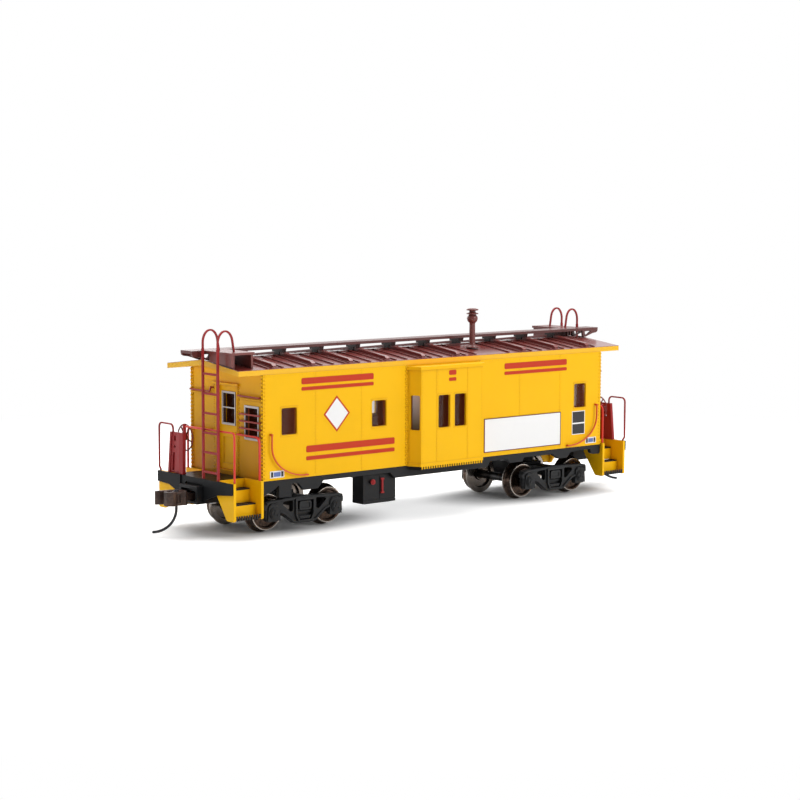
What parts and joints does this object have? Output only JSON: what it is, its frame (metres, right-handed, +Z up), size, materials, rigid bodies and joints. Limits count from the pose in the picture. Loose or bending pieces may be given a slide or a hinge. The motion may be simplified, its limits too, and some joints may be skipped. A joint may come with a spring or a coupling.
{
  "type": "model caboose",
  "caption": "Scale model caboose: hollow body with window bays, ribbed roof with running board, end porches with ladders, swivelling trucks, rolling wheelsets and knuckle couplers.",
  "frame": {"origin": "centre of the car in plan, at the level of the lowest points of the wheel flanges", "axes": "+X along the car towards end b, +Y across it, +Z up"},
  "size_m": [0.162, 0.0396, 0.0547],
  "materials": {
    "body_paint": "yellow-orange paint, satin to gloss",
    "roof_paint": "mineral brown paint, satin",
    "rail_red": "red flexible plastic, satin",
    "underframe_plastic": "dark grey moulded plastic, matt",
    "axle_plastic": "black acetal",
    "wheel_metal": "turned nickel-silver tyre, browned plate",
    "coupler_metal": "brown oxide casting",
    "trip_wire": "blackened steel wire",
    "spring_bronze": "bronze sheet",
    "screw_steel": "plated steel",
    "window_trim": "silver paint",
    "clear_glazing": "clear polished styrene",
    "ballast_steel": "plain steel plate"
  },
  "bodies": {
    "car": {"body_shell": "body_paint", "bay_window_near": "body_paint", "bay_window_far": "body_paint", "roof": "roof_paint", "running_board": "roof_paint", "roof_platform_a": "roof_paint", "roof_platform_b": "roof_paint", "smokejack": "roof_paint", "end_ladder_a": "rail_red", "end_ladder_b": "rail_red", "brake_side_rails": "rail_red", "ladder_side_rails": "rail_red", "corner_handrails": "rail_red", "side_grab_irons": "rail_red", "end_grab_irons": "rail_red", "window_guard_bars": "rail_red", "brake_stand_a": "rail_red", "brake_stand_b": "rail_red", "steps_a_near": "body_paint", "steps_a_far": "body_paint", "steps_b_near": "body_paint", "steps_b_far": "body_paint", "step_treads": "underframe_plastic", "underframe": "underframe_plastic", "end_platform_a": "underframe_plastic", "end_platform_b": "underframe_plastic", "equipment_box": "underframe_plastic", "box_valve_and_gauge": "rail_red", "weight": "ballast_steel", "side_glazing": "clear_glazing", "bay_glazing": "clear_glazing", "end_door_a": "body_paint", "end_door_b": "body_paint", "end_window_frames": "window_trim", "end_glazing": "clear_glazing", "truck_screws": "screw_steel", "coupler_box_a": "underframe_plastic", "coupler_box_b": "underframe_plastic", "coupler_lids": "underframe_plastic", "coupler_screws": "screw_steel", "centring_springs": "spring_bronze"},
    "brake_wheel_a": {"brake_wheel_a": "rail_red"},
    "brake_wheel_b": {"brake_wheel_b": "rail_red"},
    "coupler_a": {"coupler_a": "coupler_metal"},
    "coupler_b": {"coupler_b": "coupler_metal"},
    "knuckle_a": {"knuckle_a": "coupler_metal", "trip_pin_a": "trip_wire"},
    "knuckle_b": {"knuckle_b": "coupler_metal", "trip_pin_b": "trip_wire"},
    "truck_a": {"truck_frame_a": "underframe_plastic"},
    "truck_b": {"truck_frame_b": "underframe_plastic"},
    "wheelset_a1": {"axle_a1": "axle_plastic", "wheels_a1": "wheel_metal"},
    "wheelset_a2": {"axle_a2": "axle_plastic", "wheels_a2": "wheel_metal"},
    "wheelset_b1": {"axle_b1": "axle_plastic", "wheels_b1": "wheel_metal"},
    "wheelset_b2": {"axle_b2": "axle_plastic", "wheels_b2": "wheel_metal"}
  },
  "joints": [
    {"name": "truck_a_swivel", "type": "hinge", "parent": "car", "child": "truck_a", "pos_m": [-0.04487, 0, 0.00544], "axis": [0, 0, 1], "range_deg": [-10, 10]},
    {"name": "truck_b_swivel", "type": "hinge", "parent": "car", "child": "truck_b", "pos_m": [0.04487, 0, 0.00544], "axis": [0, 0, 1], "range_deg": [-10, 10]},
    {"name": "axle_a1_roll", "type": "hinge", "parent": "truck_a", "child": "wheelset_a1", "pos_m": [-0.05479, 0, 0.00544], "axis": [0, 1, 0], "continuous": true},
    {"name": "axle_a2_roll", "type": "hinge", "parent": "truck_a", "child": "wheelset_a2", "pos_m": [-0.03495, 0, 0.00544], "axis": [0, 1, 0], "continuous": true},
    {"name": "axle_b1_roll", "type": "hinge", "parent": "truck_b", "child": "wheelset_b1", "pos_m": [0.03495, 0, 0.00544], "axis": [0, 1, 0], "continuous": true},
    {"name": "axle_b2_roll", "type": "hinge", "parent": "truck_b", "child": "wheelset_b2", "pos_m": [0.05479, 0, 0.00544], "axis": [0, 1, 0], "continuous": true},
    {"name": "coupler_a_swing", "type": "hinge", "parent": "car", "child": "coupler_a", "pos_m": [-0.0645, 0, 0.0099], "axis": [0, 0, 1], "range_deg": [-12, 12]},
    {"name": "knuckle_a_open", "type": "hinge", "parent": "coupler_a", "child": "knuckle_a", "pos_m": [-0.0762, -0.0009, 0.0099], "axis": [0, 0, 1], "range_deg": [0, 30]},
    {"name": "brake_wheel_a_turn", "type": "hinge", "parent": "car", "child": "brake_wheel_a", "pos_m": [-0.0673, 0.008, 0.0238], "axis": [-1, 0, 0], "continuous": true},
    {"name": "coupler_b_swing", "type": "hinge", "parent": "car", "child": "coupler_b", "pos_m": [0.0645, 0, 0.0099], "axis": [0, 0, 1], "range_deg": [-12, 12]},
    {"name": "knuckle_b_open", "type": "hinge", "parent": "coupler_b", "child": "knuckle_b", "pos_m": [0.0762, 0.0009, 0.0099], "axis": [0, 0, 1], "range_deg": [0, 30]},
    {"name": "brake_wheel_b_turn", "type": "hinge", "parent": "car", "child": "brake_wheel_b", "pos_m": [0.0673, -0.008, 0.0238], "axis": [1, 0, 0], "continuous": true}
  ]
}
